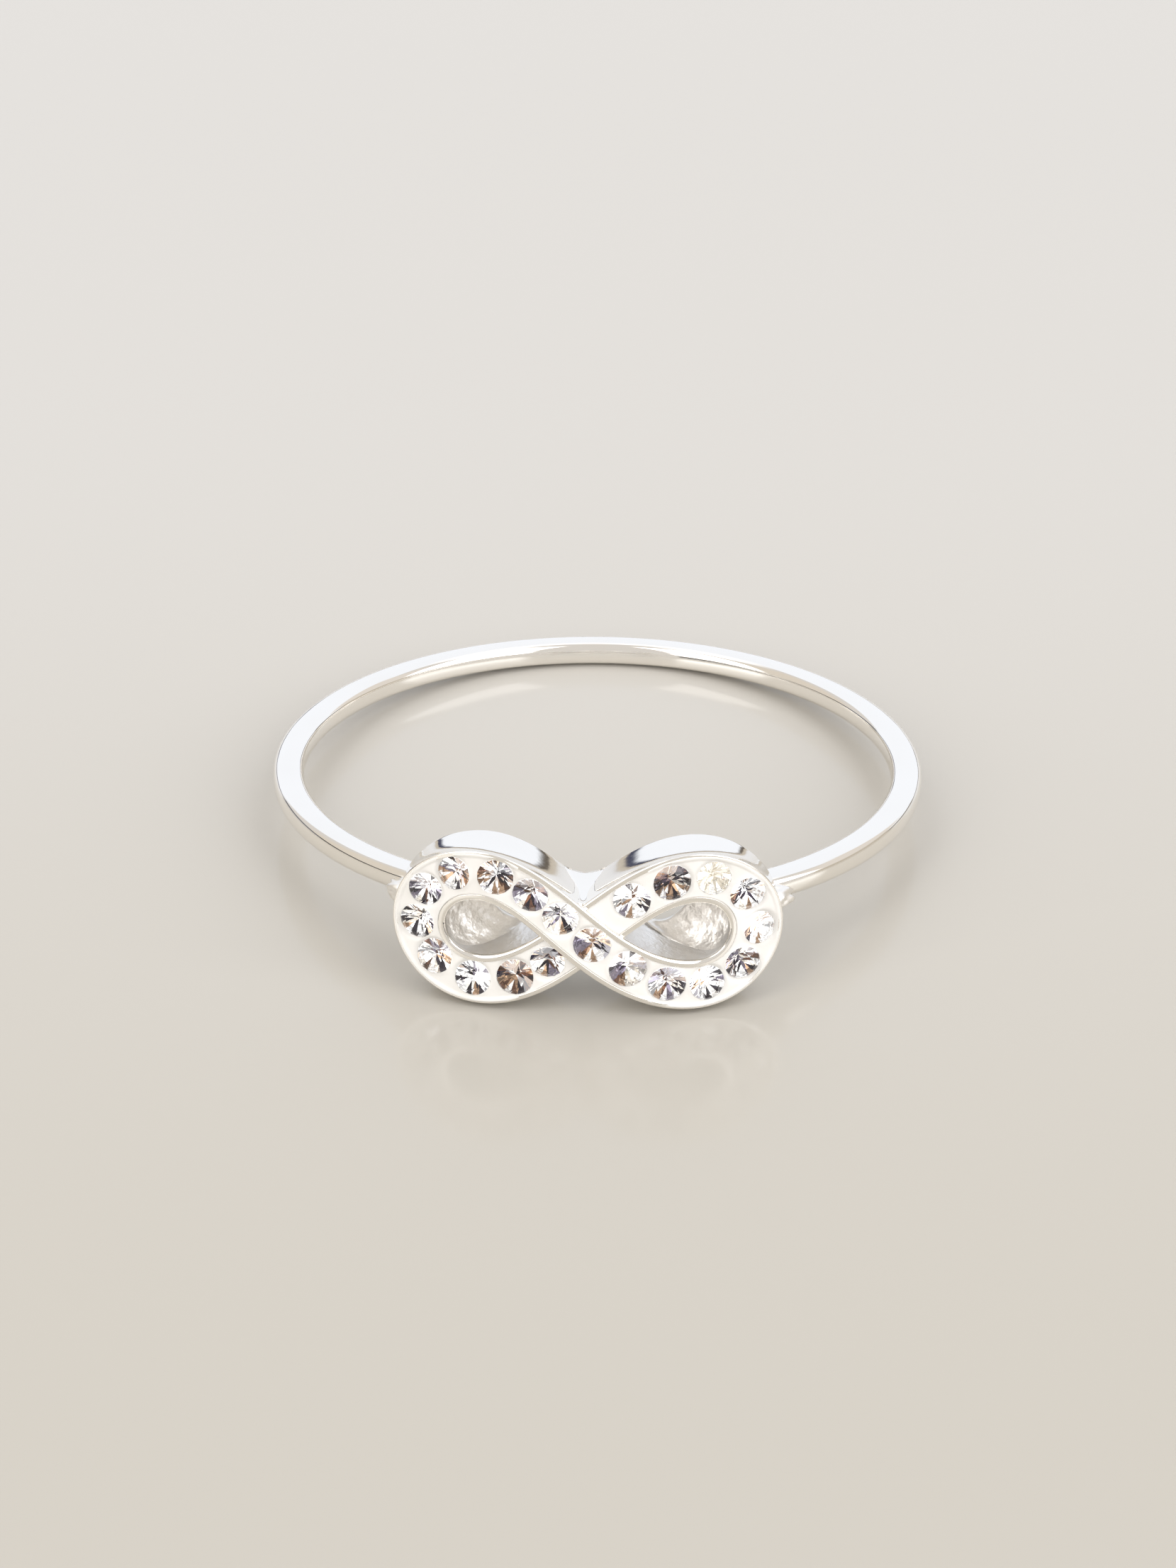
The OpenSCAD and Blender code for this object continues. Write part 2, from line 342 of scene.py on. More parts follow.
back_y = finger_r + BACK_GAP
face_y = back_y + CUP_DEPTH
half_w = STRAND_W / 2
sag = FACE_R - math.sqrt(FACE_R**2 - LOOP_REACH**2) - CROSS_STEP
low_face_r = (LOOP_REACH**2 + sag**2) / (2 * sag)


def centre(t):
    """The middle of the strand, seen from the front."""
    return Vector((
        LOOP_REACH * math.cos(t) * (1 - LOOP_ROUND * math.sin(t) ** 2),
        LOOP_RISE * math.sin(2 * t),
    ))


def left_of(t):
    """One millimetre to the left of the strand's way."""
    bend = 1 - LOOP_ROUND * math.sin(t) ** 2 + 2 * LOOP_ROUND * math.cos(t) ** 2
    way = Vector((-LOOP_REACH * math.sin(t) * bend, 2 * LOOP_RISE * math.cos(2 * t))).normalized()
    return Vector((-way.y, way.x))


def swerve(t):
    """How far the upper strand leans to its right where it crosses."""
    start, end = SWERVE_SPAN
    return CROSS_SWERVE * math.sin((t - start) * math.pi / (end - start)) ** 2 if start < t < end else 0


def beside(t, offset):
    """A point so far to the left of the strand's middle."""
    return centre(t) + (offset - swerve(t)) * left_of(t)


def eye_share(t, side):
    """1 where that side of the strand (1 left, -1 right) looks into an eye, 0 where it looks outwards."""
    return (1 + side * math.cos(t)) / 2


def smooth_step(value):
    """0 below 0, 1 above 1, and a smooth rise between them."""
    value = min(max(value, 0), 1)
    return value * value * (3 - 2 * value)


def lower_share(t):
    """1 on the lower strand, 0 on the upper one, with a smooth change at the loops' outer ends."""
    return smooth_step(math.sin(t) / math.sin(CHANGE_OVER) / 2 + 0.5)


def face_at(x, t):
    """How far in front of the finger's axis the bowed face lies."""
    upper = math.sqrt(FACE_R**2 - x**2) - FACE_R + face_y
    lower = math.sqrt(low_face_r**2 - x**2) - low_face_r + face_y - CROSS_STEP
    return upper + (lower - upper) * lower_share(t)


def in_cup(t, offset, drop=0.0, back=None):
    """A point of the strand: so far below its face, or so far in front of its flat back."""
    flat = beside(t, offset)
    front = back_y + back if back is not None else face_at(flat.x, t) - drop
    return Vector((flat.x, -front, flat.y - CUP_DROP))


print(f"cup {2 * (LOOP_REACH + half_w):.1f} mm long, {CUP_DEPTH} mm deep")

# %% [markdown]
# ## The cup
#
# The cup's section is a U: two walls with a rim on each, and a channel between them. The outer walls are
# drawn in towards the back, most of all next to the face, so that the casting left its mould. That slant
# is what makes the polish mirror the table beside the face and the room further back. Every edge is a
# little round and catches the light, and the edges that look into the eyes are rounder than the others.
# The section's ring of edges is extruded from station to station round the path and joined to its start,
# so the walls are smooth all the way.

# %% Sweep a section along a path
EDGE_STEPS = 5


def between(first, second, share):
    """A share of the way from the first value to the second."""
    return first + (second - first) * share


def quarter(steps=EDGE_STEPS):
    """Sine and cosine round a quarter turn."""
    return [(math.sin(a), math.cos(a)) for a in (math.pi / 2 * i / steps for i in range(steps + 1))]


def sweep(sections, closed=True):
    """Extrudes a ring of edges from section to section, and joins the two ends or caps them."""
    bm = bmesh.new()
    marked = bm.verts.layers.int.new("marked")
    ring = [bm.verts.new(point) for point, mark in sections[0]]
    first_edges = [bm.edges.new(pair) for pair in zip(ring, ring[1:] + ring[:1])]
    edges = first_edges
    for vert, (point, mark) in zip(ring, sections[0]):
        vert[marked] = mark
    for section in sections[1:]:
        made = bmesh.ops.extrude_edge_only(bm, edges=edges)["geom"]
        new = {item for item in made if isinstance(item, bmesh.types.BMVert)}
        ring = [next(e.other_vert(v) for e in v.link_edges if e.other_vert(v) in new) for v in ring]
        for vert, (point, mark) in zip(ring, section):
            vert.co = point
            vert[marked] = mark
        edges = [item for item in made if isinstance(item, bmesh.types.BMEdge)]
        edges = [edge for edge in edges if new.issuperset(edge.verts)]
    if closed:
        bmesh.ops.bridge_loops(bm, edges=edges + first_edges)
    else:
        bmesh.ops.edgeloop_fill(bm, edges=first_edges)
        bmesh.ops.edgeloop_fill(bm, edges=edges)
    return bm, marked


# %% Sweep the cup
RIM_W = 0.12
EYE_RIM_W = 0.2
CHANNEL_D = 0.7
EDGE_ROUND = 0.025
EYE_EDGE_ROUND = 0.12
RIM_INNER_ROUND = 0.01
BACK_ROUND = 0.1
BACK_REACH = 0.05
WALL_ROWS = 9
DRAW_NEAR = 0.22
DRAW_FAR = 0.045
DRAW_BEND = 0.45
OUTER_FADE = 0.12
ROUGH_EDGE = 0.2
HOLD = 0.02
UNDER_SINK = 0.02
STATIONS = 264


def drawn_in(depth):
    """How far an outer wall stands back at a depth under its edge: steep first, then gentle."""
    steep = depth / (1 + (depth / DRAW_BEND) ** 4) ** 0.25
    return DRAW_FAR * depth + (DRAW_NEAR - DRAW_FAR) * steep


def half_section(t, side):
    """One side of the U from the flat back to the channel's floor, as points and whether each is rough."""
    share = eye_share(t, side)
    outer = 1 - smooth_step((share - 0.5) / OUTER_FADE)
    rim = between(RIM_W, EYE_RIM_W, share)
    edge = between(EDGE_ROUND, EYE_EDGE_ROUND, share)
    sink = UNDER_SINK * max(0, math.sin(t)) ** 4 - BACK_REACH
    rough = share > 0.5
    deep = face_at(beside(t, side * half_w).x, t) - back_y - sink - BACK_ROUND
    back_w = half_w - drawn_in(deep - edge) * outer
    points = [(back_w - BACK_ROUND - HOLD, None, sink, False)]
    for s, c in quarter():
        points.append((back_w - BACK_ROUND * (1 - s), None, sink + BACK_ROUND * (1 - c), False))
    for row in range(WALL_ROWS + 1):
        drop = between(deep - HOLD, edge + HOLD, row / WALL_ROWS)
        points.append((half_w - drawn_in(drop - edge) * outer, drop, None, rough))
    for s, c in quarter():
        points.append((half_w - edge * (1 - c), edge * (1 - s), None, rough and s < ROUGH_EDGE))
    points.append((half_w - edge - HOLD / 2, 0.0, None, False))
    points.append((half_w - rim + RIM_INNER_ROUND + HOLD / 4, 0.0, None, False))
    for s, c in quarter(3):
        points.append((half_w - rim + RIM_INNER_ROUND * (1 - s), RIM_INNER_ROUND * (1 - c), None, False))
    points.append((half_w - rim, CHANNEL_D, None, False))
    return [(in_cup(t, side * u, drop or 0, back), mark) for u, drop, back, mark in points]


angles = [2 * math.pi * i / STATIONS for i in range(STATIONS)]
cup_mesh, marked = sweep([half_section(t, 1) + half_section(t, -1)[::-1] for t in angles])
for face in cup_mesh.faces:
    face.material_index = 1 if all(vert[marked] for vert in face.verts) else 0
print("cup's section has", len(half_section(0, 1)) * 2, "points")

# %% [markdown]
# ## The notches
#
# Where the two strands part, above and below the crossing, the cup's walls meet in a notch. Metal that was
# poured and then polished has no sharp inner corner, so each notch gets a concave fillet. Its section is
# an arc that touches both walls, and it follows their slant. It is small at the face, and the upper one
# widens towards the back, where the metal of the two loops ran together.

# %% Round the notches
NOTCH_ROUND = 0.2
NOTCH_WIDENS = (0.95, 2.1)
BACK_ROUNDS = {"top": 1.0, "bottom": 0.35}
NOTCH_ARC = 16
NOTCH_STATIONS = 20
NOTCH_TOP = 0.05
ROOT = 0.07
MEETING_ROUNDS = 6
NOTCHES = {"top": ((260, 1), (80, -1)), "bottom": ((280, -1), (100, 1))}


def meeting(first, second, start, reach=math.radians(15)):
    """The two angles at which two curves meet, closed in on by trying a smaller grid each time."""
    steps = range(-5, 6)
    for _ in range(MEETING_ROUNDS):
        tries = [(start[0] + reach * i / 5, start[1] + reach * j / 5) for i in steps for j in steps]
        start = min(tries, key=lambda pair: (first(pair[0]) - second(pair[1])).length)
        reach /= 3
    return start


def notch_section(strands, depth, back_round):
    """The fillet at one depth: an arc from wall to wall, and a root inside the metal behind it."""
    wall = half_w - drawn_in(depth)
    (a, side_a), (b, side_b) = strands
    start, end = NOTCH_WIDENS
    radius = between(NOTCH_ROUND, back_round, smooth_step((depth - start) / (end - start)))
    out = wall + radius
    guess = (math.radians(a), math.radians(b))
    a, b = meeting(lambda t: beside(t, side_a * out), lambda t: beside(t, side_b * out), guess)
    middle = beside(a, side_a * out)
    to_a = (beside(a, side_a * wall) - middle).normalized()
    to_b = (beside(b, side_b * wall) - middle).normalized()
    arc = [middle + to_a.slerp(to_b, i / NOTCH_ARC) * radius for i in range(NOTCH_ARC + 1)]
    corner = (to_a + to_b) / (1 + to_a.dot(to_b))
    root = [middle + way * (radius + ROOT) for way in (to_b, corner, to_a)]
    front = face_at(0, math.pi / 2) - depth
    return [(Vector((flat.x, -front, flat.y - CUP_DROP)), 0) for flat in arc + root]


notch_depth = face_at(0, math.pi / 2) - back_y
for name, strands in NOTCHES.items():
    depths = [between(NOTCH_TOP, notch_depth, i / NOTCH_STATIONS) for i in range(NOTCH_STATIONS + 1)]
    sections = [notch_section(strands, depth, BACK_ROUNDS[name]) for depth in depths]
    bm = sweep(sections, closed=False)[0]
    fillet = hand_over(bm, f"notch_{name}", [polished], "silver_ring")
    print(fillet.name, len(fillet.data.polygons), "faces")

# %% [markdown]
# ## The casting in the eyes
#
# Only the inner part of each eye is open. In its outer end the mould left a rough ramp of silver, which
# starts under the rim and runs out at the cup's back. It is a grid, stretched between the eye's two
# walls, dented by noise as cast metal is, and extruded down to close it.

# %% Fill the outer end of each eye
WEB_CELLS = 40
WEB_BITE = 0.04
WEB_TURN_LOW = math.radians(78)
WEB_TURN_HIGH = math.radians(40)
WEB_DROP = 0.34
WEB_BACK = 0.22
WEB_UNDER = 0.13
WEB_TURN_BEND = 0.6
WEB_RUN_BEND = 0.85
WEB_FILLET_LOW = (0.5, 5)  # height, sharpness
WEB_FILLET_HIGH = (0.15, 6)
DENTS = ((3.1, 0.05), (9.0, 0.02))  # pitch, depth
DENT_SHIFT = 7


def ramp_point(along, across):
    """A point of the ramp: along from the eye's outer end, across from its lower wall to its upper one."""
    turn = between(WEB_TURN_LOW, WEB_TURN_HIGH, across**WEB_TURN_BEND)
    low, high = (beside(way * along * turn, half_w - WEB_BITE) for way in (-1, 1))
    flat = low.lerp(high, across)
    start, end = (beside(turn * share, half_w - WEB_BITE).x for share in (0, 1))
    run = max(0, (start - flat.x) / (start - end))
    front = between(face_at(start, 0) - WEB_DROP, back_y + WEB_BACK, run**WEB_RUN_BEND)
    (low_height, low_power), (high_height, high_power) = WEB_FILLET_LOW, WEB_FILLET_HIGH
    fillet = low_height * (1 - across) ** low_power + high_height * across**high_power
    front += fillet * (1 - run)
    return Vector((flat.x, -front, flat.y - CUP_DROP))


def eye_casting(side):
    """One eye's dented ramp, closed by a flat underside. Each side has dents of its own."""
    bm = bmesh.new()
    bmesh.ops.create_grid(bm, x_segments=WEB_CELLS, y_segments=WEB_CELLS, size=1)
    ramp = bm.faces[:]
    for vert in bm.verts:
        point = ramp_point((vert.co.x + 1) / 2, (vert.co.y + 1) / 2)
        shift = Vector((side * DENT_SHIFT, 0, 0))
        dent = sum(depth * noise.noise(point * pitch + shift) for pitch, depth in DENTS)
        vert.co = Vector((side * point.x, point.y + dent, point.z))
    made = bmesh.ops.extrude_face_region(bm, geom=ramp, use_keep_orig=True)["geom"]
    for vert in (item for item in made if isinstance(item, bmesh.types.BMVert)):
        vert.co.y = -(back_y + WEB_UNDER)
    bmesh.ops.remove_doubles(bm, verts=bm.verts, dist=1e-4)
    return bm


for name, side in (("left", -1), ("right", 1)):
    casting = hand_over(eye_casting(side), f"eye_casting_{name}", [cast], "silver_ring")
    print(casting.name, len(casting.data.polygons), "faces")

# %% [markdown]
# ## The solder
#
# Molten solder creeps into the wedge between the wire and the cup's back and stays there as a small
# whitish lump. A sphere is stretched along the wire, turned to follow it and dented a little.

# %% Melt the solder on
LUMP_SIZE = (0.74, 0.42, 0.36)
LUMP_PLACE = (4.98, -8.3, -0.13)
LUMP_TURN = math.radians(38)
LUMP_DENT = 0.2
LUMP_DENT_PITCH = 2.4
LUMP_DENT_SHIFT = (5, 2)

for name, side in (("left", -1), ("right", 1)):
    bm = bmesh.new()
    bmesh.ops.create_icosphere(bm, subdivisions=5, radius=1)
    shift = Vector((side * LUMP_DENT_SHIFT[0], LUMP_DENT_SHIFT[1], 0))
    for vert in bm.verts:
        vert.co *= 1 + LUMP_DENT * noise.noise(vert.co * LUMP_DENT_PITCH + shift)
    along_wire = Matrix.Rotation(side * LUMP_TURN, 3, "Z")
    bmesh.ops.scale(bm, verts=bm.verts, vec=LUMP_SIZE)
    bmesh.ops.rotate(bm, verts=bm.verts, cent=(0, 0, 0), matrix=along_wire)
    bmesh.ops.translate(bm, verts=bm.verts, vec=(side * LUMP_PLACE[0], *LUMP_PLACE[1:]))
    lump = hand_over(bm, f"solder_{name}", [solder], "silver_ring")
    print(lump.name, len(lump.data.polygons), "faces")

# %% [markdown]
# ## Where the crystals sit
#
# The frame knows each crystal's place, size and lean. Its table is the largest flat facet, so the facets
# with one normal are added up and the largest sum names the table. From the table's corners come the
# crystal's axis, its turn and its size.

# %% Read each crystal's seat from the frame
CROWN_SHARE = 0.16
stone_nodes = sorted(name for name in frame["nodes"] if name.startswith("stone_"))


def seat_of(name):
    """The crystal's diameter in metres, and a matrix from a crystal about the origin to its seat."""
    mesh = frame["nodes"][name].data
    areas, corners = {}, {}
    for polygon in mesh.polygons:
        key = tuple(round(value, 2) for value in polygon.normal)
        areas[key] = areas.get(key, 0) + polygon.area
        corners.setdefault(key, []).extend(mesh.vertices[i].co.copy() for i in polygon.vertices)
    largest = max(areas, key=areas.get)
    table, axis = corners[largest], Vector(largest).normalized()
    far = max(table, key=lambda corner: (corner - table[0]).length)
    middle = (max(table, key=lambda corner: (corner - far).length) + far) / 2
    forward = (far - middle).normalized()
    size = 2 * max(((v.co - middle).cross(axis)).length for v in mesh.vertices)
    turn = Matrix((forward, axis.cross(forward), axis)).transposed().to_4x4()
    return size, Matrix.Translation(middle - axis * size * CROWN_SHARE) @ turn


seats = {name: seat_of(name) for name in stone_nodes}
print(len(seats), "crystals,", ", ".join(f"{size / MM:.2f}" for size, matrix in seats.values()), "mm")

# %% [markdown]
# ## The paste
#
# The paste was smeared into the channel and wiped off almost level with the rims, and a thin film of it
# stayed on the outer rims. Where a crystal was pressed in, it meets the crystal's widest line. So its top
# is a fine grid that follows the channel, and each of its points is moved in the frame of the nearest
# crystal: below the crystal's point if it lies under it, up or down to the girdle if it lies beside it,
# and by a slow ripple elsewhere. The cup's own points under a crystal, where one strand runs below the
# other, are pressed down in the same way.

# %% Press the crystals' shapes into a surface
PAVILION_SHARE = 0.43
SEAT_MARGIN = 0.06
SNAP = 0.022
SNAP_GAP = 0.006
LIP_WIDTH = 0.07
LIP_DROP = 0.012
NEAR = 0.7

to_ring = lay_down.inverted()


def press_of(size, matrix):
    """A crystal's middle, its radius and the way from and to its own frame, in the ring's millimetres."""
    in_ring = to_ring @ matrix
    middle = in_ring.to_translation()
    seat = Matrix.Translation(middle) @ in_ring.to_3x3().normalized().to_4x4()
    return middle, size / MM / 2, seat, seat.inverted()


presses = [press_of(size, matrix) for size, matrix in seats.values()]


def pressed(point, lip=True):
    """Where a point of a surface comes to lie once the crystals are pressed into it."""
    for middle, radius, seat, unseat in presses:
        if (point - middle).length > NEAR:
            continue
        local = unseat @ point
        apart = math.hypot(local.x, local.y)
        if apart < radius - SNAP:
            deep = SEAT_MARGIN + 2 * radius * PAVILION_SHARE * (1 - apart / radius)
            local.z = min(local.z, -deep)
        elif lip:
            if apart < radius + SNAP:
                local.xy = local.xy * ((radius + SNAP_GAP) / apart)
                apart = radius
            weight = math.exp(-(((apart - radius) / LIP_WIDTH) ** 2))
            local.z = between(local.z, -LIP_DROP, weight)
        point = seat @ local
    return point


for vert in cup_mesh.verts:
    vert.co = pressed(vert.co, lip=False)
cup = hand_over(cup_mesh, "infinity_cup", [polished, cast], "silver_ring")
print("cup:", len(cup.data.polygons), "faces")

# %% Fill the channel with paste
PASTE_SINK = 0.03
PASTE_GAP = 0.005
FILM_REACH = 0.075
FILM_RISE = 0.012
FILM_FREE = 0.62
FILM_FADE = 0.2
FILM_START = 0.06
FILM_CLIMB = 0.07
FILM_UNDER = 0.004
SIDE_TOP = 0.06
SIDE_DROP = 0.02
PASTE_ROWS = 38
PASTE_STATIONS = 660
RIPPLE = 0.01

paste_finish, shader, start = new_finish("white_paste", Roughness=0.42)
place = place_in(start)
patchy = grain(start, place, 700).step(0.3, 0.75)
start.put(shader.inputs["Base Color"], patchy.blend((0.96, 0.945, 0.915), (0.93, 0.91, 0.87)))
start.put(shader.inputs["Normal"], bumped(start, grain(start, place, 5000, 4.0), 0.000008))


def film_share(t, side):
    """1 on the loops' outer rims, which keep a film of paste, and 0 at the eyes and the crossing."""
    return smooth_step((-side * math.cos(t) - 1 + FILM_FREE) / FILM_FADE)


def on_rim(beyond):
    """How far the film has risen, so far beyond the channel's wall."""
    return smooth_step((beyond + FILM_START) / FILM_CLIMB)


def paste_section(t):
    """The paste's section: its top from left to right, then its underside back again."""
    rims = [between(RIM_W, EYE_RIM_W, eye_share(t, side)) for side in (1, -1)]
    left, right = (half_w - rim - PASTE_GAP for rim in rims)
    film = [film_share(t, side) for side in (1, -1)]
    points = []
    for row in range(PASTE_ROWS + 1):
        share = row / PASTE_ROWS
        offset = between(left + FILM_REACH * film[0], -right - FILM_REACH * film[1], share)
        over = on_rim(offset - left) * film[0] + on_rim(-offset - right) * film[1]
        points.append((in_cup(t, offset, between(PASTE_SINK, -FILM_RISE, over)), 1))
    for reach, share in ((-right, film[1]), (left, film[0])):
        film_edge = reach + math.copysign(FILM_REACH * share, reach)
        film_drop = between(PASTE_SINK + SIDE_DROP, FILM_UNDER, share)
        wall = [(film_edge, film_drop), (reach, SIDE_TOP), (reach, CHANNEL_D - PASTE_GAP)]
        points += [(in_cup(t, offset, drop), 0) for offset, drop in (wall if reach < 0 else wall[::-1])]
    return points


def rippled(point):
    """A slow unevenness left by wiping the paste, from two crossing waves."""
    return RIPPLE * (math.sin(point.x * 5.1 + point.z * 3.3) + math.sin(point.z * 6.7 - point.x * 2.9)) / 2


bm, top = sweep([paste_section(2 * math.pi * i / PASTE_STATIONS) for i in range(PASTE_STATIONS)])
for vert in bm.verts:
    if vert[top]:
        vert.co.y -= rippled(vert.co)
        vert.co = pressed(vert.co)
paste = hand_over(bm, "setting_paste", [paste_finish], "white_bed")
print("paste:", len(paste.data.polygons), "faces")

# %% [markdown]
# ## The crystals
#
# Each crystal is a small round brilliant of clear glass with a foil behind it, so light that enters the
# crown is thrown back by the mirror under the pavilion. It is cut here as a lapidary would cut it: a
# round blank, and one plane after another for the table, kites, stars and halves above, and for the main
# facets and halves below. After each cut the open hole is closed with a facet. The facets below the
# girdle get a foil finish, and the ones above stay clear.

# %% Cut the brilliant
KITES = 8
TABLE_SHARE = 0.56
CORNER_SHARE = 0.8
LOW_CORNER_SHARE = 0.24
GIRDLE_SHARE = 0.03
HALF_KITE = math.pi / KITES


def on_circle(radius, angle, height):
    """A point so far round a level circle."""
    return Vector((radius * math.cos(angle), radius * math.sin(angle), height))


def cut(bm, a, b, c):
    """Cuts away all that lies outside the plane through three points, and closes the hole."""
    normal = (b - a).cross(c - a).normalized()
    if normal.dot(a) < 0:
        normal.negate()
    everything = bm.verts[:] + bm.edges[:] + bm.faces[:]
    made = bmesh.ops.bisect_plane(
        bm, geom=everything, dist=1e-5, plane_co=a, plane_no=normal, clear_outer=True, clear_inner=False
    )
    edges = [item for item in made["geom_cut"] if isinstance(item, bmesh.types.BMEdge)]
    open_edges = [edge for edge in edges if edge.is_boundary]
    if open_edges:
        bmesh.ops.edgeloop_fill(bm, edges=open_edges)


def cut_brilliant():
    """A round brilliant of diameter 1 about the origin, its girdle's upper edge at zero."""
    r = 0.5
    corner_h = CROWN_SHARE * (r - r * CORNER_SHARE * math.cos(HALF_KITE)) / (r - r * TABLE_SHARE)
    pavilion = PAVILION_SHARE - GIRDLE_SHARE
    low_corner_h = -PAVILION_SHARE + pavilion * LOW_CORNER_SHARE * math.cos(HALF_KITE)
    bm = bmesh.new()
    bmesh.ops.create_cone(bm, cap_ends=True, segments=2 * KITES, radius1=r, radius2=r, depth=2)
    for i in range(KITES):
        angle = 2 * i * HALF_KITE
        girdle = on_circle(r, angle, 0)
        girdle_next = on_circle(r, angle + HALF_KITE, 0)
        girdle_last = on_circle(r, angle + 2 * HALF_KITE, 0)
        table = on_circle(r * TABLE_SHARE, angle, CROWN_SHARE)
        table_next = on_circle(r * TABLE_SHARE, angle + 2 * HALF_KITE, CROWN_SHARE)
        corner = on_circle(r * CORNER_SHARE, angle + HALF_KITE, corner_h)
        corner_before = on_circle(r * CORNER_SHARE, angle - HALF_KITE, corner_h)
        low = Vector((0, 0, -GIRDLE_SHARE))
        low_corner = on_circle(r * LOW_CORNER_SHARE, angle + HALF_KITE, low_corner_h)
        low_before = on_circle(r * LOW_CORNER_SHARE, angle - HALF_KITE, low_corner_h)
        cut(bm, girdle, corner, corner_before)
        cut(bm, table, table_next, corner)
        cut(bm, corner, girdle, girdle_next)
        cut(bm, corner, girdle_next, girdle_last)
        cut(bm, girdle + low, low_corner, low_before)
        cut(bm, low_corner, girdle + low, girdle_next + low)
        cut(bm, low_corner, girdle_next + low, girdle_last + low)
    cut(bm, *(on_circle(r * TABLE_SHARE, 4 * i * HALF_KITE, CROWN_SHARE) for i in range(3)))
    return bm


bm = cut_brilliant()
brilliant = bpy.data.meshes.new("brilliant")
bm.to_mesh(brilliant)
bm.free()
print("brilliant:", len(brilliant.polygons), "facets,", len(brilliant.vertices), "corners")

# %% [markdown]
# ## Glass and foil
#
# The clear facets are glass. Each foil facet is painted with a reflection of its own, a colour that stands
# for what a crumpled mirror would show in that facet: white, cream, brown, violet grey or almost black.
# These painted reflections are a colour attribute on the facets, drawn from a seeded list so that every run
# is the same. A share of the facets that face up, and the girdle's facets, are painted white as painted
# highlights. A real foil does not glow: the small glow here is painted light, and it and the glass's index
# were set to make the facets stand out.
#
# One crystal's painted reflections are paler than the rest: its dark ones become one mid tone. Each is
# drawn up to four hundredths larger than its solid, and less where a neighbour is close.

# %% Finish the glass and the foil
GLASS_INDEX = 1.65
# Painted light: the foil glows faintly in its painted reflection colours, though it is no lamp.
FOIL_PAINTED_GLOW = 0.35

clear, shader, start = new_finish("crystal_glass", Roughness=0.0, IOR=GLASS_INDEX, Transmission_Weight=1.0)
shader.inputs["Base Color"].default_value = (1, 1, 1, 1)
foil, shader, start = new_finish("crystal_foil", Metallic=1.0, Roughness=0.03, Emission_Strength=FOIL_PAINTED_GLOW)
# The painted reflection colours give both the foil's colour and its painted glow.
painted_reflection = start.node("ShaderNodeVertexColor", {"layer_name": "foil_tint"}, out="Color")
start.put(shader.inputs["Base Color"], painted_reflection)
start.put(shader.inputs["Emission Color"], painted_reflection)
print("crystal finishes:", clear.name, foil.name)

# %% Paint reflections and highlights on the foil and seat the crystals
WHITE = (1.0, 1.0, 1.0)
# Painted reflections: each foil facet gets one of these colours in place of what it would mirror; white is
# a painted highlight.
FOIL_PAINTED_REFLECTIONS = [
    # colour, share
    (WHITE, 12),
    ((0.9, 0.85, 0.77), 4),
    ((0.34, 0.22, 0.14), 4),
    ((0.11, 0.05, 0.03), 5),
    ((0.17, 0.15, 0.2), 4),
    ((0.015, 0.01, 0.02), 6),
]
# One crystal's dark painted reflections are replaced by a paler painted reflection.
PALE = {"stone_18"}
PALE_PAINTED_REFLECTION = (0.66, 0.62, 0.54)
DARK_SUM = 1.5
# The share of upward-facing facets that get a painted highlight, as if lit from above.
PAINTED_HIGHLIGHT_ABOVE = 0.35
FOIL_SEED = 20
GIRDLE_LEAN = 0.05
GROWTH = 1.04
TIGHT = {"stone_01": 1.0, "stone_08": 1.01, "stone_09": 1.0, "stone_10": 1.0, "stone_11": 1.02}

draw = random.Random(FOIL_SEED)
painted_reflection_pool = [colour for colour, share in FOIL_PAINTED_REFLECTIONS for _ in range(share)]
for name, (size, matrix) in seats.items():
    bm = bmesh.new()
    bm.from_mesh(brilliant)
    paint = bm.loops.layers.float_color.new("foil_tint")
    for face in bm.faces:
        colour = draw.choice(painted_reflection_pool)
        below = face.calc_center_median().z < -1e-4
        # The girdle's facets are painted white: a painted highlight that hides the ring of shade round each
        # crystal.
        girdle = abs(face.normal.z) < GIRDLE_LEAN
        # A share of the facets on the upper side are painted white: a painted highlight from the light
        # above.
        above = (matrix.to_3x3() @ face.calc_center_median()).z > 0 and draw.random() < PAINTED_HIGHLIGHT_ABOVE
        if name in PALE and sum(colour) < DARK_SUM:
            colour = PALE_PAINTED_REFLECTION
        elif girdle or above:
            colour = WHITE
        face.material_index = 1 if below else 0
        for loop in face.loops:
            loop[paint] = (*colour, 1)
    gem = name.replace("stone", "crystal")
    seat = matrix @ Matrix.Scale(size * TIGHT.get(name, GROWTH), 4)
    hand_over(bm, gem, [clear, foil], name, smooth=False, matrix=seat)
print("crystals seated:", len(seats))

# %% [markdown]
# ## The table
#
# The ring lies on a pale satin board, whose soft gloss shows the ring as a faint blur. The board is warmer
# near the camera and paler behind the ring. Further back it turns matt and tan for the silver's sake: seen
# almost along its surface, a glossy board would mirror the bright wall, and the silver's slanted walls
# would lose their tan band.

# %% Lay the floor
FLOOR_SIZE = 1.5
FRONT_TO_REAR = (-0.03, 0.03)
FAR = (0.07, 0.12)
BOARD_FRONT = (0.505, 0.476, 0.42)
BOARD_REAR = (0.56, 0.54, 0.505)
BOARD_FAR = (0.44, 0.4, 0.34)

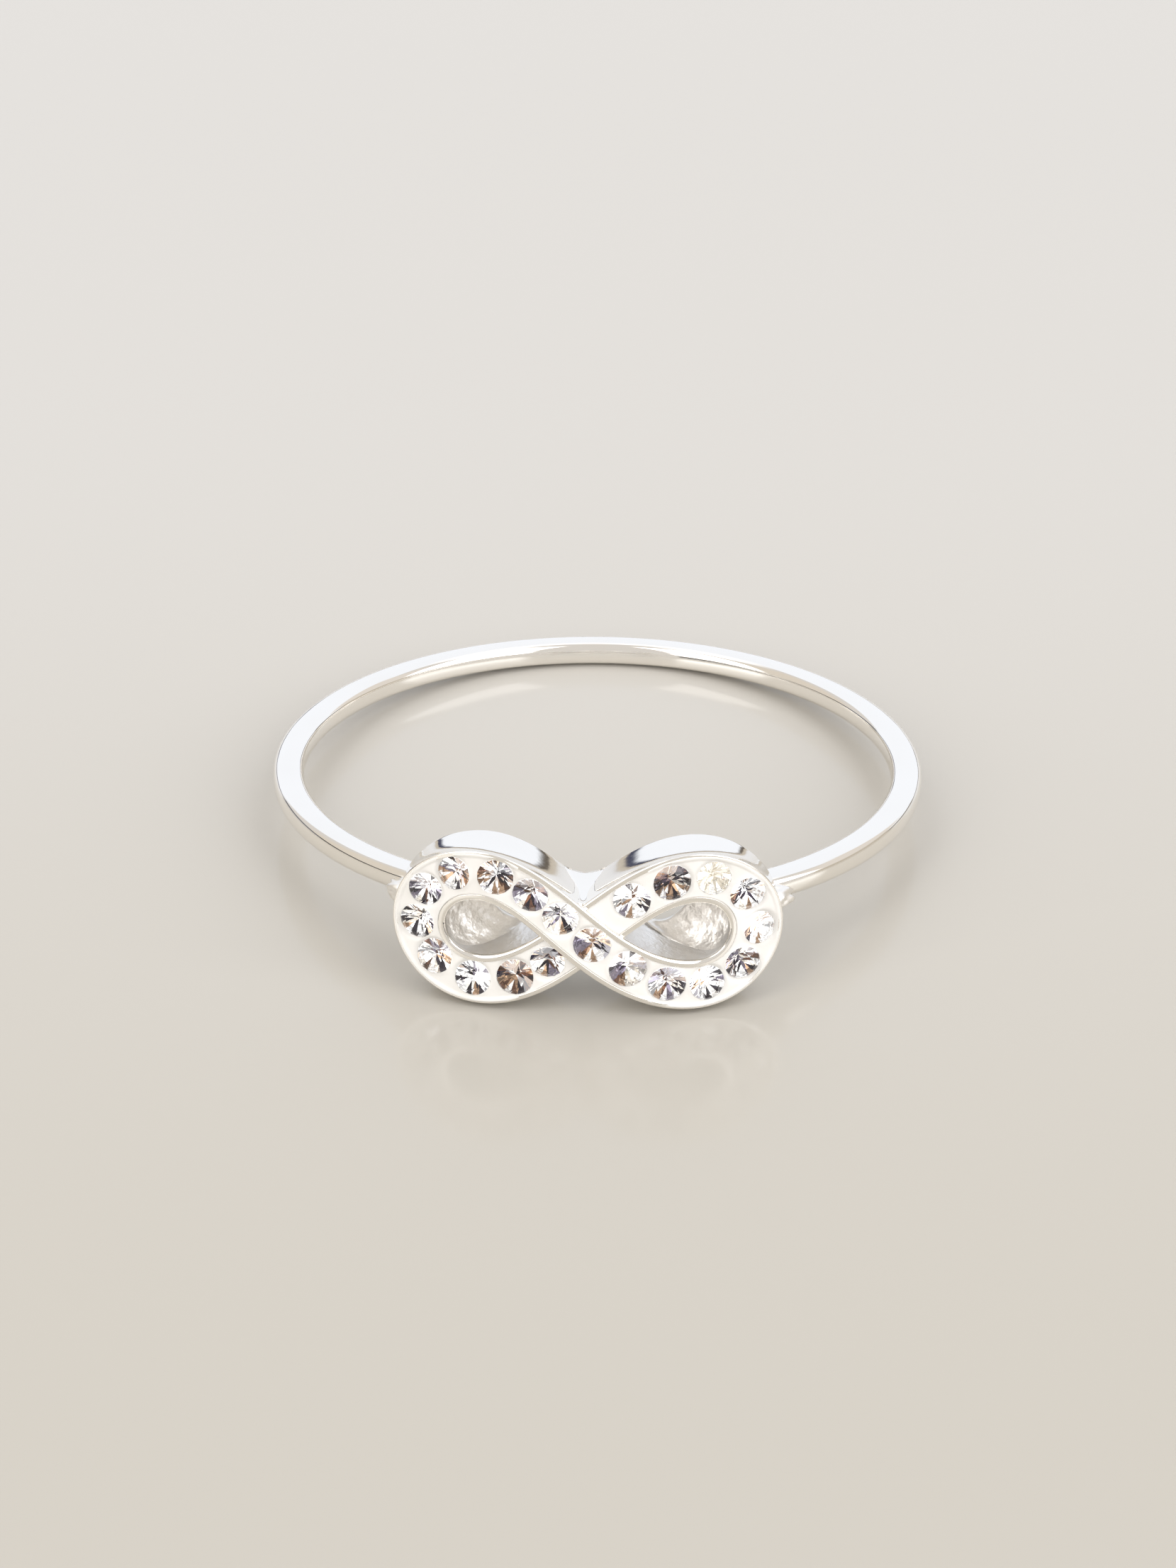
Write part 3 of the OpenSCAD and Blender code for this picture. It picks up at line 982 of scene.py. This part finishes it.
board, shader, start = new_finish("satin_board", Roughness=0.14, Specular_IOR_Level=0.28)
along = place_in(start).dot((0, 1, 0))
start.put(shader.inputs["Base Color"], along.step(*FRONT_TO_REAR).blend(BOARD_FRONT, BOARD_REAR))
matt_values = {"Base Color": (*BOARD_FAR, 1), "Roughness": 1.0, "Specular IOR Level": 0.0}
matt = start.node("ShaderNodeBsdfPrincipled", inputs=matt_values, out="BSDF")
satin = Signal(board.node_tree, shader.outputs["BSDF"])
both = start.node("ShaderNodeMixShader", inputs={0: along.step(*FAR), 1: satin, 2: matt}, out="Shader")
start.put(board.node_tree.nodes["Material Output"].inputs["Surface"], both)

bm = bmesh.new()
bmesh.ops.create_grid(bm, x_segments=1, y_segments=1, size=FLOOR_SIZE / 2)
mesh = bpy.data.meshes.new("floor")
bm.to_mesh(mesh)
bm.free()
mesh.materials.append(board)
floor = bpy.data.objects.new("floor", mesh)
bpy.context.collection.objects.link(floor)
print(f"floor {FLOOR_SIZE} m wide")

# %% [markdown]
# ## The light
#
# Silver shows nothing but its surroundings, so the light is a whole room and not a lamp. The room is
# painted on the world as soft patches, each between two bearings and two heights. A bearing is measured
# from straight behind the ring, to the right. Pale walls give the silver its body, the windows give it
# its sparkle, and the few dark patches draw the dark lines that make it look polished.

# %% Light the room
ROOM = (0.72, 0.69, 0.66)
PATCHES = [
    # bearings, heights, softness, colour
    ((-45, 64), (-10, 60), 8, (0.98, 1.02, 1.1)),
    ((-113, -66), (-10, 50), 8, (0.74, 0.68, 0.6)),
    ((50, 101), (8, 42), 8, (0.79, 0.74, 0.69)),
    ((60, 101), (-10, 10), 6, (0.56, 0.51, 0.43)),
    ((-100, 100), (56, 76), 8, (1.2, 1.2, 1.22)),
    ((-75, -46), (-10, 5), 4, (0.08, 0.09, 0.13)),
    ((40, 62), (-10, 4), 4, (0.25, 0.22, 0.18)),
    ((-150, -114), (10, 72), 8, (3.2, 3.15, 3.1)),
    ((98, 150), (12, 72), 8, (3.1, 3.1, 3.15)),
    ((-46, -12), (-10, 2.2), 2, (0.06, 0.065, 0.11)),
    ((-12, 18), (-10, 1.2), 1.5, (0.3, 0.27, 0.24)),
    ((18, 62), (-10, 1.8), 2, (0.12, 0.1, 0.08)),
    ((-150, -74), (-10, 4.5), 2, (0.03, 0.03, 0.035)),
]

world = bpy.data.worlds.new("soft_room")
bpy.context.scene.world = world
world.use_nodes = True
background = world.node_tree.nodes["Background"]
sky = Signal(world.node_tree)
direction = sky.node("ShaderNodeTexCoord", out="Generated")
bearing = direction.dot((1, 0, 0)).math("ARCTAN2", direction.dot((0, 1, 0)))
height = direction.dot((0, 0, 1)).math("ARCSINE")


def inside(signal, span, softness):
    """1 between two angles in degrees, 0 outside, with a soft edge."""
    low, high = (math.radians(angle) for angle in span)
    half = math.radians(softness / 2)
    return signal.step(low - half, low + half) * (1 - signal.step(high - half, high + half))


colour = ROOM
for bearings, heights, softness, paint in PATCHES:
    mask = inside(bearing, bearings, softness) * inside(height, heights, softness)
    colour = mask.blend(colour, paint)
sky.put(background.inputs["Color"], colour)
background.inputs["Strength"].default_value = 1.0

view = bpy.context.scene.view_settings
view.view_transform = "Standard"
view.look = "None"
print("a room of", len(PATCHES), "patches")
